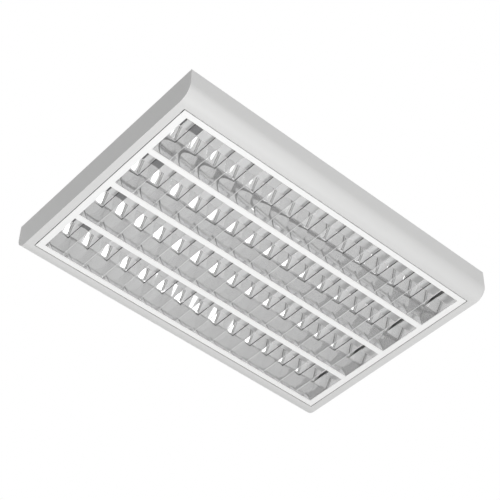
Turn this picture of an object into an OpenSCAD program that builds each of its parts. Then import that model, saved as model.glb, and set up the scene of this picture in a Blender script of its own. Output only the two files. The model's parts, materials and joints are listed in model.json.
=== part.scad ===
// Surface-mounted linear LED light with a mirrored four-channel louvre.
// The ceiling face is z = 0 and the light opening faces down.
// X runs along the length, and the louvre is hinged at the +Y side.

/* [Housing] */
// Length of the housing
body_l = 650; // [630:5:690]
// Width of the housing
body_w = 446; // [438:2:470]
// Height from the ceiling face to the light opening
body_h = 56; // [55.5:0.5:60]
// Thickness of the housing's sheet steel
shell_t = 1; // [0.8:0.1:1.2]
// Outer radius of the long lower edges
edge_r = 24; // [18:1:26]
// Width of the bottom flange along each long side
side_flange_w = 29.2; // [28:0.2:32]
// Width of the bottom flange at each end
end_flange_w = 13.7; // [12:0.1:16]
// Height of the turned-up lip round the opening
lip_h = 9; // [7:0.5:10]
// Depth of the end plates' top return under the ceiling plate
end_return_w = 14; // [12:1:18]
// Width of the end plates' top return
end_return_l = 320; // [280:10:360]

/* [Ceiling fixing] */
// Diameter of the four fixing holes
fixing_hole_d = 6.5; // [5:0.5:8]
// Spacing of the fixing holes along the length
fixing_l = 500; // [460:10:520]
// Spacing of the fixing holes across the width
fixing_w = 180; // [170:5:190]
// Diameter of the screwdriver holes in the gear tray
access_hole_d = 14; // [12:1:16]
// Diameter of the cable entry in the ceiling plate
entry_d = 20; // [16:1:22]
// Distance of the cable entry from the end of the housing
entry_inset = 69; // [64:1:74]
// Diameter of the cable way through the grommet
cable_way_d = 10; // [7:0.5:12]

/* [Louvre frame] */
// Gap between the louvre frame and the housing
frame_gap = 1.8; // [1.6:0.1:2.2]
// Thickness of the frame's sheet steel
frame_t = 1; // [0.8:0.1:1.2]
// Face width of the long rails
rail_face_w = 10; // [10:0.2:12]
// Face width of the end rails
end_face_w = 11.8; // [10:0.2:14]
// Height of the rails
rail_h = 20; // [19:0.5:22]
// Width of the turned-in top edge of the long rails
rail_return_w = 6; // [6:0.5:7]
// Width of the divider strips
strip_w = 10.8; // [9:0.2:13]
// Length of the strips' tongues on the end rails
tongue_l = 6; // [4:1:8]
// Thickness of the tongues
tongue_t = 0.8; // [0.6:0.1:1]

/* [Louvre reflectors] */
// Height of the reflectors above the frame's face
louvre_h = 34.5; // [33:0.5:35.5]
// How far each reflector wall leans in at its top
wall_lean = 11.7; // [10:0.1:13]
// Thickness of the mirror sheet
mirror_t = 0.4; // [0.3:0.1:0.5]
// Number of cross blades in each channel
blades = 14; // [12:1:15]
// Spacing of the cross blades
blade_pitch = 40.3; // [36:0.1:42]
// Height of the blades' lower fold above the frame's face
blade_lift = 3; // [2:0.5:5]
// Width of the blades' lower fold
blade_fold_w = 1.2; // [1.1:0.1:2]
// Width of the blades across their open top
blade_top_w = 4; // [3:0.5:6]
// Gap between a blade's end and the reflector wall
blade_fit = 0.1; // [0.05:0.05:0.3]

/* [Louvre hinge] */
// Distance of the hinge axis from the frame's outer edge
hinge_inset = 7; // [6.8:0.1:7.2]
// Height of the hinge axis above the frame's face
hinge_rise = 3.6; // [3.4:0.1:3.8]
// Diameter of the hinge pins
pin_d = 2.4; // [2:0.1:2.6]
// Diameter of the hinge barrels
barrel_d = 4.2; // [4:0.1:4.4]
// Running clearance of the pins in the barrels, on the radius
pin_fit = 0.05; // [0.03:0.01:0.08]
// Distance of each hinge from the middle
hinge_x = 220; // [180:5:240]
// Width of the hinge arms
arm_w = 8; // [6:1:12]
// Thickness of the hinge arms and catch brackets
arm_t = 1.2; // [1:0.1:1.4]
// Height of the hinge arm above the hinge axis
arm_rise = 11; // [10.5:0.5:12]
// Thickness of the ears on the back rail
ear_t = 1.5; // [1.2:0.1:2]
// Side clearance between arm and ears
ear_gap = 0.3; // [0.2:0.1:0.5]

/* [Louvre catch] */
// Distance of each catch from the middle
catch_x = 220; // [180:5:240]
// Width of the catch brackets
catch_w = 12; // [8:1:16]
// Diameter of the catch magnets
magnet_d = 5.6; // [5:0.2:5.8]
// Height of the catch magnets
magnet_h = 3; // [2:0.5:4]
// Gap between a magnet and the front rail
magnet_gap = 0.1; // [0.1:0.1:0.3]

/* [Gear tray] */
// Clear height between the ceiling plate and the gear tray
gear_h = 14.4; // [14.4:0.1:14.6]
// Thickness of the gear tray
tray_t = 0.8; // [0.7:0.1:0.9]
// Gap between each end of the gear tray and the end of the housing
tray_end_gap = 25; // [23:1:29]
// Width of the gear tray
tray_w = 356; // [340:2:370]
// Height of the tray's turned-up long edges
tray_edge_h = 10; // [6:1:12]
// Distance of the tray screws from the ends of the gear tray
tray_fix_inset = 15; // [10:1:19]
// Distance of the troughs' lower edges from the sides of the channels
trough_margin = 10.95; // [10.7:0.05:11.5]
// Width of the troughs' flat tops
trough_top_w = 20.8; // [20:0.2:24]
// Height of the troughs above the gear tray's underside
trough_rise = 11.1; // [10.6:0.1:11.2]
// Diameter of the standoffs
standoff_d = 8; // [7:0.5:10]
// Diameter of the tray screws
tray_screw_d = 3.4; // [3:0.2:4]
// Clearance of a screw or rivet in its hole, on the radius
hole_fit = 0.05; // [0.03:0.01:0.1]

/* [LED boards] */
// Length of the LED boards
board_l = 576; // [570:2:580]
// Width of the LED boards
board_w = 15.6; // [15:0.2:15.8]
// Thickness of the LED boards
board_t = 1; // [0.8:0.1:1.1]
// Number of LEDs on each board
leds = 28; // [20:1:30]
// Distance of the outer LEDs from the ends of the covers
led_end_inset = 17; // [8:0.5:20]
// Edge length of an LED package
led_w = 3; // [2.8:0.1:3.5]
// Height of an LED package
led_h = 0.7; // [0.6:0.1:0.8]
// Width of the strip covers over the boards
cover_w = 17.6; // [17.4:0.2:18.4]
// Height of the strip covers
cover_h = 2.8; // [2.7:0.1:3]
// Wall thickness of the strip covers
cover_t = 0.8; // [0.6:0.1:0.8]
// Length of the board connectors
connector_l = 16; // [14:1:19]
// Distance of the board connectors from the ends of the boards
connector_inset = 0.5; // [0:0.5:2]
// Diameter of the board rivets
board_rivet_d = 2.5; // [2:0.1:3]

/* [Driver] */
// Length of the driver case
driver_l = 360; // [340:5:370]
// Width of the driver case
driver_w = 30; // [29.4:0.1:30.6]
// Height of the driver
driver_h = 13; // [12.6:0.1:13.4]
// Wall thickness of the driver case
driver_t = 0.8; // [0.7:0.1:1]
// Distance of the driver from the lanes of the LED leads
driver_gap = 29.5; // [28:0.5:32]
// Length of the driver's fixing lugs
lug_l = 12; // [11:1:14]
// Length of the driver's terminals
driver_terminal_l = 16; // [12:1:20]

/* [Terminal block] */
// Offset of the terminal block from midway between the earth screw and the cable entry
terminal_shift = 3; // [0:0.5:6]
// Length of the terminal block
terminal_l = 24; // [20:1:26]
// Height of the terminal block
terminal_h = 13; // [12:0.5:13]
// Spacing of its poles
pole_pitch = 9; // [8.6:0.1:9.1]
// Width of a release button
button_w = 5; // [4:0.2:6]
// Height of a release button
button_h = 3.6; // [3:0.2:4]
// How far a button stands out of the block
button_reach = 2.6; // [2.4:0.1:3]
// Travel of a release button
button_travel = 2; // [1.5:0.1:2]
// Clearance round a release button
button_gap = 0.15; // [0.1:0.05:0.3]

/* [Wiring] */
// Diameter of the mains wires
mains_wire_d = 2.4; // [2:0.1:2.6]
// Diameter of the LED leads
lead_d = 2; // [1.8:0.1:2]
// Height of the wires above the gear tray
wire_rise = 2.4; // [2.4:0.1:2.8]
// Bend radius of the wires
bend_r = 6; // [5:0.5:7]
// Distance of the earth screw from the driver
earth_gap = 30; // [27:1:36]
// Diameter of the earth screw
earth_screw_d = 4; // [3.5:0.5:4]

/* [Hidden] */
$fn = 48;

// Reach past a face where a cut goes right through it
cut = 1;

// Housing and opening
half_l = body_l / 2;
half_w = body_w / 2;
aperture_l = body_l - 2 * end_flange_w;
aperture_w = body_w - 2 * side_flange_w;
shell_l = body_l - 2 * shell_t;
lip_outer_y = aperture_w / 2 + shell_t;
lip_outer_x = aperture_l / 2 + shell_t;
rivet_shank_d = 3.2;
rivet_head_d = 6;
rivet_head_h = 1.2;
rivet_x = half_l - shell_t - end_return_w / 2;
rivet_ys = [-end_return_l * 3 / 8, 0, end_return_l * 3 / 8];
entry_x = half_l - entry_inset;
grommet_flange_w = 2.5;
grommet_flange_h = 1.6;

// Louvre frame
channels = 4;
louvre_l = aperture_l - 2 * frame_gap;
louvre_w = aperture_w - 2 * frame_gap;
face_z = -body_h;
seat_z = face_z + frame_t;
opening_l = louvre_l - 2 * end_face_w;
opening_w = louvre_w - 2 * rail_face_w;
channel_w = (opening_w - (channels - 1) * strip_w) / channels;
channel_pitch = channel_w + strip_w;
trough_w = channel_w - 2 * trough_margin;
channel_ys = [for (i = [0:channels - 1]) (i - (channels - 1) / 2) * channel_pitch];
divider_ys = [for (i = [0:channels - 2]) (i - (channels - 2) / 2) * channel_pitch];
tongue_gap = 0.1;
tongue_half_w = strip_w / 2 - mirror_t - tongue_gap;

// Reflector walls: steep at the opening, leaning in towards the lamps
wall_steps = 8;
wall_curve = 1.5;
wall_top_z = face_z + louvre_h;
function wall_z(t) = seat_z + (wall_top_z - seat_z) * t;
function wall_half(t) = channel_w / 2 - wall_lean * pow(t, wall_curve);

// Cross blades: a folded V with bowed sides
blade_bottom_z = face_z + blade_lift;
blade_steps = 7;
function blade_half(t) = blade_fold_w / 2 + (blade_top_w - blade_fold_w) / 2 * pow(t, 1.6);

// Hinge
hinge_y = louvre_w / 2 - hinge_inset;
hinge_z = face_z + hinge_rise;
upstand_y = louvre_w / 2 - frame_t;
arm_top_z = hinge_z + arm_rise;
slot_w = arm_w + 2 * ear_gap;
slot_above = 1.4;
press_fit = 0.02;
pin_proud = 0.5;
pin_l = arm_w + 2 * ear_gap + 2 * ear_t + 2 * pin_proud;

// Catch
rail_top_z = face_z + rail_h;
magnet_z = rail_top_z + magnet_gap;
magnet_y = louvre_w / 2 - rail_return_w / 2;
magnet_margin = 0.4;

// Gear tray
tray_top_z = -shell_t - gear_h;
tray_under_z = tray_top_z - tray_t;
tray_l = body_l - 2 * tray_end_gap;
tray_fix_l = tray_l - 2 * tray_fix_inset;
trough_under_z = tray_under_z + trough_rise;
trough_top_z = trough_under_z + tray_t;
trough_l = opening_l;
trough_outline = [
    [-trough_w / 2, tray_under_z], [-trough_top_w / 2, trough_under_z],
    [trough_top_w / 2, trough_under_z], [trough_w / 2, tray_under_z]
];
tray_outline = concat(
    [[-tray_w / 2, tray_under_z]],
    [for (y = channel_ys, p = trough_outline) p + [y, 0]],
    [[tray_w / 2, tray_under_z]]
);
lamp_z = trough_under_z - mirror_t;
trough_slope = 2 * trough_rise / (trough_w - trough_top_w);
liner_gap = 0.7;
liner_low_z = wall_top_z + liner_gap;
liner_knee_z = tray_under_z - mirror_t * (1 - trough_slope);
liner_half = [
    [trough_top_w / 2, lamp_z], [trough_w / 2 - mirror_t, liner_knee_z],
    [trough_w / 2 - mirror_t, liner_low_z], [trough_w / 2, liner_low_z],
    [trough_w / 2, tray_under_z], [trough_top_w / 2, trough_under_z]
];
liner_outline = concat(
    liner_half,
    [for (i = [len(liner_half) - 1:-1:0]) [-liner_half[i][0], liner_half[i][1]]]
);
screw_head_d = 6.8;
screw_head_h = 1.9;
tray_screw_l = 9;
tap_runout = 1;
tap_top = tray_under_z + tray_screw_l + tap_runout;
recess_l = 3.6;
recess_w = 0.8;
recess_depth = 1;

// LED boards
board_under_z = lamp_z - board_t;
cover_end_gap = 0.5;
connector_x = connector_inset + (connector_l - board_l) / 2;
cover_low_x = connector_x + connector_l / 2 + cover_end_gap;
cover_high_x = board_l / 2 + cover_end_gap + cover_t;
cover_l = cover_high_x - cover_low_x;
cover_x = (cover_high_x + cover_low_x) / 2;
led_pitch = (cover_l - 2 * led_end_inset) / (leds - 1);
connector_neck_w = 8;
lead_lane_gap = 9;
lead_lane_step = 7;
lead_lane_1 = connector_x + connector_neck_w / 2 + lead_lane_gap;
lead_lane_2 = lead_lane_1 + lead_lane_step;
connector_gap = 0.5;
connector_drop = 1.6;
connector_roof = 0.4;
rivet_plate_d = 4.4;
rivet_plate_h = 0.8;
board_rivet_inset = 22;
board_rivet_x = cover_l / 2 - board_rivet_inset;
board_rivet_xs = [for (i = [-1:1]) cover_x + i * board_rivet_x];
rivet_tail = 1.2;
board_rivet_y = 4.8;

// Driver
driver_lid_z = tray_top_z + driver_h - driver_t;
driver_low_x = lead_lane_2 + driver_gap;
driver_high_x = driver_low_x + driver_l;
driver_x = (driver_low_x + driver_high_x) / 2;
terminal_reach = 4;
terminal_w = 27;
terminal_top = 9;
lead_ys = [-12, -6, 6, 12];
lug_t = 1;
lug_screw_d = 3.4;
lug_screw_tail = 2.4;
lug_screw_head_d = 5.8;
lug_screw_gap = 0.3;
lug_screw_reach = terminal_reach + lug_screw_gap + lug_screw_head_d / 2;
circuit_board_rise = 2.2;
circuit_board_t = 1.2;
circuit_board_l = driver_l - 2 * driver_terminal_l;
circuit_board_gap = 0.5;
circuit_board_w = driver_w - 2 * driver_t - 2 * circuit_board_gap;
circuit_top_z = tray_top_z + circuit_board_rise + circuit_board_t;
circuit_foot_d = 3;
circuit_foot_inset = 16;
transformer_core = [22, 20, 7];
transformer_window = [3, 3.5];
transformer_window_y = 5.6;
capacitor_d = 7;
capacitor_l = 20;
capacitor_places = [-70, -40, 60, 90];
lid_hook_l = 20;
lid_hook_h = 2;
lid_hook_gap = 0.1;

// Terminal block
earth_x = driver_high_x + earth_gap;
terminal_x = (earth_x + entry_x) / 2 - terminal_shift;
terminal_half = terminal_l / 2;
pole_ys = [pole_pitch, 0, -pole_pitch];
terminal_wall = 1.5;
terminal_block_w = 3 * pole_pitch + 2 * terminal_wall;
button_roof = 1.6;
button_z = tray_top_z + terminal_h - button_h / 2 - button_roof;
button_runout = 0.5;
button_groove = 0.8;
button_l = 8;
clamp_t = 0.5;
clamp_w = 4;
clamp_h = 2.6;
clamp_end_gap = 0.5;
clamp_room_w = 5.4;
clamp_room_h = 3.4;
entry_rise = 0.6;

// Wires
wire_z = tray_top_z + wire_rise;
wire_grip = 5;
wire_fit = 0.1;
lead_over = 0.3;
lead_z = trough_top_z + lead_over + lead_d / 2;
lead_rise_gap = 4;
lead_rise_x = driver_low_x - terminal_reach - lead_rise_gap;
lead_rise_r = (lead_z - wire_z) / 2;
lead_grip = 5;
lead_end_x = connector_x + connector_neck_w / 2 - lead_grip;
earth_y = pole_ys[2];
earth_screw_head_d = 7.6;
lug_ring_d = 8.4;
lug_tab_l = 9;
lug_tab_w = 3.6;
lug_sheet_t = 0.8;
lug_barrel_t = 0.6;

// Rows of points that repeat
fixing_points = [for (x = [-1, 1], y = [-1, 1]) [x * fixing_l / 2, y * fixing_w / 2]];
tray_fix_points = [for (x = [-1, 1], y = [-1, 1]) [x * tray_fix_l / 2, y * fixing_w / 2]];

// Extrudes an outline drawn in Y and Z along X, centred on x = 0.
module along_x(length) {
    rotate([90, 0, 90])
        linear_extrude(length, center = true)
            children();
}

// Box between two corners.
module box(low, high) {
    translate(low)
        cube([high[0] - low[0], high[1] - low[1], high[2] - low[2]]);
}

// Upright cylinder from z = low to z = high.
module post(diameter, low, high) {
    translate([0, 0, low])
        cylinder(d = diameter, h = high - low);
}

// Cylinder along X, centred on the origin.
module rod_x(diameter, length) {
    rotate([0, 90, 0])
        cylinder(d = diameter, h = length, center = true);
}

// Housing

// Outline of the housing across its width, with the lower edges rounded.
module housing_outline(inset) {
    r = edge_r - inset;
    difference() {
        translate([-half_w + inset, -body_h + inset])
            square([body_w - 2 * inset, body_h - 2 * inset]);
        for (s = [-1, 1])
            translate([s * (half_w - edge_r), -body_h + edge_r])
                difference() {
                    translate([s > 0 ? 0 : -edge_r - cut, -edge_r - cut])
                        square([edge_r + cut, edge_r + cut]);
                    circle(r = r, $fn = 96);
                }
    }
}

module housing_shell() {
    color("white")
        difference() {
            along_x(shell_l)
                union() {
                    difference() {
                        housing_outline(0);
                        housing_outline(shell_t);
                        translate([-aperture_w / 2, -body_h - cut])
                            square([aperture_w, cut + 2 * shell_t]);
                    }
                    for (s = [-1, 1])
                        translate([s > 0 ? aperture_w / 2 : -lip_outer_y, -body_h])
                            square([shell_t, lip_h]);
                }
            for (p = fixing_points)
                translate(p)
                    post(fixing_hole_d, -shell_t - cut, cut);
            translate([entry_x, 0])
                post(entry_d, -shell_t - cut, cut);
            for (s = [-1, 1], y = rivet_ys)
                translate([s * rivet_x, y])
                    post(rivet_shank_d + 2 * hole_fit, -shell_t - cut, cut);
        }
}

// One end plate at +X: face, top return, bottom flange and lip.
module end_plate() {
    color("white")
        difference() {
            union() {
                translate([half_l - shell_t / 2, 0])
                    along_x(shell_t)
                        housing_outline(0);
                box(
                    [half_l - shell_t - end_return_w, -end_return_l / 2, -2 * shell_t],
                    [half_l - shell_t / 2, end_return_l / 2, -shell_t]
                );
                box(
                    [aperture_l / 2, -aperture_w / 2, -body_h],
                    [half_l - shell_t / 2, aperture_w / 2, -body_h + shell_t]
                );
                box(
                    [aperture_l / 2, -aperture_w / 2, -body_h],
                    [lip_outer_x, aperture_w / 2, -body_h + lip_h]
                );
            }
            for (y = rivet_ys)
                translate([rivet_x, y])
                    post(rivet_shank_d + 2 * hole_fit, -2 * shell_t - cut, -shell_t + cut);
        }
}

module end_plate_left() {
    mirror([1, 0, 0])
        end_plate();
}

module end_plate_right() {
    end_plate();
}

module end_plate_rivets() {
    color("silver")
        for (s = [-1, 1], y = rivet_ys)
            translate([s * rivet_x, y]) {
                post(rivet_shank_d, -2 * shell_t, 0);
                post(rivet_head_d, -2 * shell_t - rivet_head_h, -2 * shell_t);
            }
}

module cable_grommet() {
    color("dimgray")
        translate([entry_x, 0])
            difference() {
                union() {
                    post(entry_d - 2 * hole_fit, -shell_t, 0);
                    post(entry_d + 2 * grommet_flange_w, -shell_t - grommet_flange_h, -shell_t);
                }
                post(cable_way_d, -shell_t - grommet_flange_h - cut, cut);
            }
}

// Gear tray

module gear_tray() {
    color("white")
        difference() {
            union() {
                along_x(tray_l)
                    sheet_section(tray_outline, tray_t);
                for (s = [-1, 1])
                    box(
                        [-tray_l / 2, s > 0 ? tray_w / 2 - tray_t : -tray_w / 2, tray_under_z],
                        [tray_l / 2, s > 0 ? tray_w / 2 : -tray_w / 2 + tray_t, tray_under_z + tray_edge_h]
                    );
            }
            for (p = fixing_points)
                translate(p)
                    tray_hole(access_hole_d);
            for (p = tray_fix_points)
                translate(p)
                    tray_hole(tray_screw_d + 2 * hole_fit);
            for (p = driver_screw_points())
                translate(p)
                    tray_hole(lug_screw_d + 2 * hole_fit);
            translate([earth_x, earth_y])
                tray_hole(earth_screw_d + 2 * hole_fit);
            lamp_holes();
        }
}

// Outline of a sheet folded along a line of points, as thick as given in height.
module sheet_section(line, thickness) {
    polygon(concat(line, [for (i = [len(line) - 1:-1:0]) line[i] + [0, thickness]]));
}

// Holes for the connectors and rivets of the LED boards, through board, mirror and tray.
module lamp_holes() {
    for (y = channel_ys) {
        translate([connector_x, y, board_under_z - cut])
            linear_extrude(trough_top_z - board_under_z + 2 * cut)
                square(connector_neck_w + 2 * connector_gap, center = true);
        for (x = board_rivet_xs)
            translate([x, y + board_rivet_y])
                post(board_rivet_d + 2 * hole_fit, board_under_z - cut, trough_top_z + cut);
    }
}

// Mirror liners of the tray's troughs: a flat top, sloping sides and short upright skirts.
module lamp_troughs() {
    color([0.82, 0.83, 0.85])
        difference() {
            for (y = channel_ys)
                along_x(trough_l)
                    translate([y, 0])
                        polygon(liner_outline);
            lamp_holes();
        }
}

// Hole right through the gear tray.
module tray_hole(diameter) {
    post(diameter, tray_under_z - cut, tray_top_z + cut);
}

module tray_standoffs() {
    color("silver")
        for (p = tray_fix_points)
            translate(p)
                difference() {
                    post(standoff_d, tray_top_z, -shell_t);
                    post(tray_screw_d + 2 * hole_fit, tray_top_z - cut, tap_top);
                }
}

module tray_screws() {
    color("silver")
        for (p = tray_fix_points)
            translate(p) {
                post(tray_screw_d, tray_under_z, tray_under_z + tray_screw_l);
                difference() {
                    post(screw_head_d, tray_under_z - screw_head_h, tray_under_z);
                    cross_recess(tray_under_z - screw_head_h);
                }
            }
}

// Cross recess cut up into a screw head from z = face.
module cross_recess(face) {
    for (a = [0, 90])
        rotate([0, 0, a])
            translate([0, 0, face])
                cube([recess_l, recess_w, 2 * recess_depth], center = true);
}

// LED boards

module led_board(y) {
    color("gainsboro")
        difference() {
            box([-board_l / 2, y - board_w / 2, board_under_z], [board_l / 2, y + board_w / 2, lamp_z]);
            lamp_holes();
        }
}

module led_packages() {
    color("khaki")
        for (y = channel_ys, i = [0:leds - 1])
            translate([cover_x + (i - (leds - 1) / 2) * led_pitch, y, board_under_z - led_h / 2])
                cube([led_w, led_w, led_h], center = true);
}

// Shallow clear trough over the LEDs, with its edges against the mirror.
module led_cover(y) {
    low = lamp_z - cover_h;
    color([0.93, 0.94, 0.95])
        translate([cover_x, y, 0])
            difference() {
                box([-cover_l / 2, -cover_w / 2, low], [cover_l / 2, cover_w / 2, lamp_z]);
                box(
                    [-cover_l / 2 - cut, -cover_w / 2 + cover_t, low + cover_t],
                    [cover_l / 2 - cover_t, cover_w / 2 - cover_t, lamp_z + cut]
                );
            }
}

// Body under each board, and a neck through the tray that takes the lead.
module board_connectors() {
    neck_top = lead_z + lead_d / 2 + wire_fit + connector_roof;
    color("dimgray")
        for (y = channel_ys)
            translate([connector_x, y, 0])
                difference() {
                    union() {
                        box(
                            [-connector_l / 2, -board_w / 2, board_under_z - connector_drop],
                            [connector_l / 2, board_w / 2, board_under_z]
                        );
                        box(
                            [-connector_neck_w / 2, -connector_neck_w / 2, board_under_z],
                            [connector_neck_w / 2, connector_neck_w / 2, neck_top]
                        );
                    }
                    translate([connector_neck_w / 2, 0, lead_z])
                        rod_x(lead_d + 2 * wire_fit, 2 * lead_grip);
                }
}

module board_rivets() {
    color("white")
        for (y = channel_ys, x = board_rivet_xs)
            translate([x, y + board_rivet_y]) {
                post(board_rivet_d, board_under_z, trough_top_z + rivet_tail);
                post(rivet_plate_d, board_under_z - rivet_plate_h, board_under_z);
            }
}

// Driver

function driver_screw_points() = [
    [driver_low_x - lug_screw_reach, 0],
    [driver_high_x + lug_screw_reach, -pole_pitch]
];

module driver_case() {
    color("whitesmoke")
        difference() {
            union() {
                difference() {
                    box(
                        [driver_low_x, -driver_w / 2, tray_top_z],
                        [driver_high_x, driver_w / 2, driver_lid_z]
                    );
                    box(
                        [driver_low_x + driver_t, -driver_w / 2 + driver_t, tray_top_z + driver_t],
                        [driver_high_x - driver_t, driver_w / 2 - driver_t, driver_lid_z + cut]
                    );
                }
                box(
                    [driver_low_x - lug_l, -driver_w / 2, tray_top_z],
                    [driver_low_x + driver_t, driver_w / 2, tray_top_z + lug_t]
                );
                box(
                    [driver_high_x - driver_t, -driver_w / 2, tray_top_z],
                    [driver_high_x + lug_l, driver_w / 2, tray_top_z + lug_t]
                );
            }
            for (x = [driver_low_x, driver_high_x])
                translate([x, 0])
                    box(
                        [-driver_t - cut, -terminal_w / 2, tray_top_z + lug_t],
                        [driver_t + cut, terminal_w / 2, tray_top_z + terminal_top]
                    );
            for (p = driver_screw_points())
                translate(p)
                    post(lug_screw_d + 2 * hole_fit, tray_top_z - cut, tray_top_z + lug_t + cut);
        }
}

module driver_lid() {
    inner = driver_w / 2 - driver_t - lid_hook_gap;
    hook_z = driver_lid_z - lid_hook_h / 2;
    color("gainsboro") {
        box(
            [driver_low_x, -driver_w / 2, driver_lid_z],
            [driver_high_x, driver_w / 2, driver_lid_z + driver_t]
        );
        for (s = [-1, 1], i = [-1, 0, 1])
            translate([driver_x + i * driver_l / 3, s * (inner - driver_t / 2), hook_z])
                cube([lid_hook_l, driver_t, lid_hook_h], center = true);
    }
}

module driver_circuit_board() {
    foot_x = circuit_board_l / 2 - circuit_foot_inset;
    foot_y = circuit_board_w / 2 - circuit_foot_d;
    color("seagreen") {
        translate([driver_x, 0, circuit_top_z - circuit_board_t / 2])
            cube([circuit_board_l, circuit_board_w, circuit_board_t], center = true);
        for (x = [-1, 1], y = [-1, 1])
            translate([driver_x + x * foot_x, y * foot_y])
                post(circuit_foot_d, tray_top_z + driver_t, circuit_top_z - circuit_board_t);
    }
}

module driver_transformer() {
    window = [transformer_core[0] + cut, transformer_window[0], transformer_window[1]];
    color("dimgray")
        translate([driver_x, 0, circuit_top_z + transformer_core[2] / 2])
            difference() {
                cube(transformer_core, center = true);
                for (s = [-1, 1])
                    translate([0, s * transformer_window_y, 0])
                        cube(window, center = true);
            }
}

module driver_capacitors() {
    color("darkslategray")
        for (x = capacitor_places)
            translate([driver_x + x, 0, circuit_top_z + capacitor_d / 2])
                rod_x(capacitor_d, capacitor_l);
}

// Terminal at one end of the driver, with a wire entry at each of the given places.
module driver_terminal(x, s, wire_d, entries) {
    color("white")
        difference() {
            box(
                [min(x - s * driver_terminal_l, x + s * terminal_reach), -terminal_w / 2 + wire_fit,
                    tray_top_z + lug_t],
                [max(x - s * driver_terminal_l, x + s * terminal_reach), terminal_w / 2 - wire_fit,
                    tray_top_z + terminal_top - wire_fit]
            );
            for (y = entries)
                translate([x + s * terminal_reach, y, wire_z])
                    rod_x(wire_d + 2 * wire_fit, 2 * wire_grip);
        }
}

module driver_input_terminal() {
    driver_terminal(driver_high_x, 1, mains_wire_d, [pole_ys[0], pole_ys[1]]);
}

module driver_output_terminal() {
    driver_terminal(driver_low_x, -1, lead_d, lead_ys);
}

module driver_screws() {
    color("silver")
        for (p = driver_screw_points())
            translate(p) {
                post(lug_screw_d, tray_under_z - lug_screw_tail, tray_top_z + lug_t);
                difference() {
                    post(lug_screw_head_d, tray_top_z + lug_t, tray_top_z + lug_t + screw_head_h);
                    cross_recess(tray_top_z + lug_t + screw_head_h);
                }
            }
}

// Mains terminal block

module mains_terminal_block() {
    color("ivory")
        difference() {
            box(
                [terminal_x - terminal_half, -terminal_block_w / 2, tray_top_z],
                [terminal_x + terminal_half, terminal_block_w / 2, tray_top_z + terminal_h]
            );
            for (y = pole_ys) {
                translate([terminal_x + terminal_half, y, button_z])
                    cube(
                        [2 * (button_l - button_reach + button_travel + button_runout),
                            button_w + 2 * button_gap, button_h + 2 * button_gap],
                        center = true
                    );
                translate([terminal_x - terminal_half, y, wire_z])
                    rod_x(mains_wire_d + 2 * wire_fit, 2 * wire_grip);
                translate([terminal_x + terminal_half, y, wire_z + entry_rise])
                    rod_x(mains_wire_d + 2 * wire_fit, 2 * wire_grip);
                translate([terminal_x, y, wire_z])
                    cube([terminal_l - 2 * wire_grip, clamp_room_w, clamp_room_h], center = true);
            }
        }
}

// Bent spring strip of each pole, which grips the wire.
module terminal_clamps() {
    reach = terminal_l - 2 * wire_grip - 2 * clamp_end_gap;
    color("goldenrod")
        for (y = pole_ys)
            translate([terminal_x, y, wire_z - clamp_room_h / 2]) {
                translate([-reach / 2, -clamp_w / 2, 0])
                    cube([reach, clamp_w, clamp_t]);
                translate([reach / 2 - clamp_t, -clamp_w / 2, 0])
                    cube([clamp_t, clamp_w, clamp_h]);
            }
}

module release_button(y) {
    color("darkorange")
        translate([terminal_x + terminal_half + button_reach - button_l / 2, y, button_z])
            difference() {
                cube([button_l, button_w, button_h], center = true);
                translate([button_l / 2, 0, 0])
                    cube([button_groove, button_w - 2 * button_groove, button_groove], center = true);
            }
}

module release_button_live() {
    release_button(pole_ys[0]);
}

module release_button_neutral() {
    release_button(pole_ys[1]);
}

module release_button_earth() {
    release_button(pole_ys[2]);
}

// Wires

// Straight wire along X between the driver and the terminal block.
module mains_wire(y) {
    low = driver_high_x + terminal_reach - wire_grip;
    high = terminal_x - terminal_half + wire_grip;
    translate([(low + high) / 2, y, wire_z])
        rod_x(mains_wire_d, high - low);
}

module live_wire() {
    color("saddlebrown")
        mains_wire(pole_ys[0]);
}

module neutral_wire() {
    color("royalblue")
        mains_wire(pole_ys[1]);
}

// Quarter bend in the XY plane: starts at [r, 0] and ends at [0, r].
module wire_bend(diameter, r) {
    rotate_extrude(angle = 90)
        translate([r, 0])
            circle(d = diameter);
}

// Straight wire from the earth pole to its lug.
module earth_wire() {
    low = earth_x + lug_tab_l;
    high = terminal_x - terminal_half + wire_grip;
    color("yellowgreen")
        translate([(low + high) / 2, earth_y, wire_z])
            rod_x(mains_wire_d, high - low);
}

// Ring and barrel crimped on the earth wire.
module earth_lug() {
    barrel = mains_wire_d + 2 * lug_barrel_t;
    barrel_x = earth_x + lug_tab_l;
    color("silver")
        difference() {
            union() {
                translate([earth_x, earth_y])
                    post(lug_ring_d, tray_top_z, tray_top_z + lug_sheet_t);
                box(
                    [earth_x, earth_y - lug_tab_w / 2, tray_top_z],
                    [barrel_x, earth_y + lug_tab_w / 2, tray_top_z + lug_sheet_t]
                );
                box(
                    [barrel_x - lug_barrel_t, earth_y - barrel / 2, tray_top_z],
                    [barrel_x + wire_grip, earth_y + barrel / 2, wire_z + barrel / 2]
                );
            }
            translate([earth_x, earth_y])
                post(earth_screw_d + 2 * hole_fit, tray_top_z - cut, wire_z + barrel);
            translate([barrel_x + wire_grip, earth_y, wire_z])
                rod_x(mains_wire_d + 2 * wire_fit, 2 * wire_grip);
        }
}

module earth_screw() {
    top = tray_top_z + lug_sheet_t;
    color("silver")
        translate([earth_x, earth_y]) {
            post(earth_screw_d, tray_under_z - lug_screw_tail, top);
            difference() {
                post(earth_screw_head_d, top, top + screw_head_h);
                cross_recess(top + screw_head_h);
            }
        }
}

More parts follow.
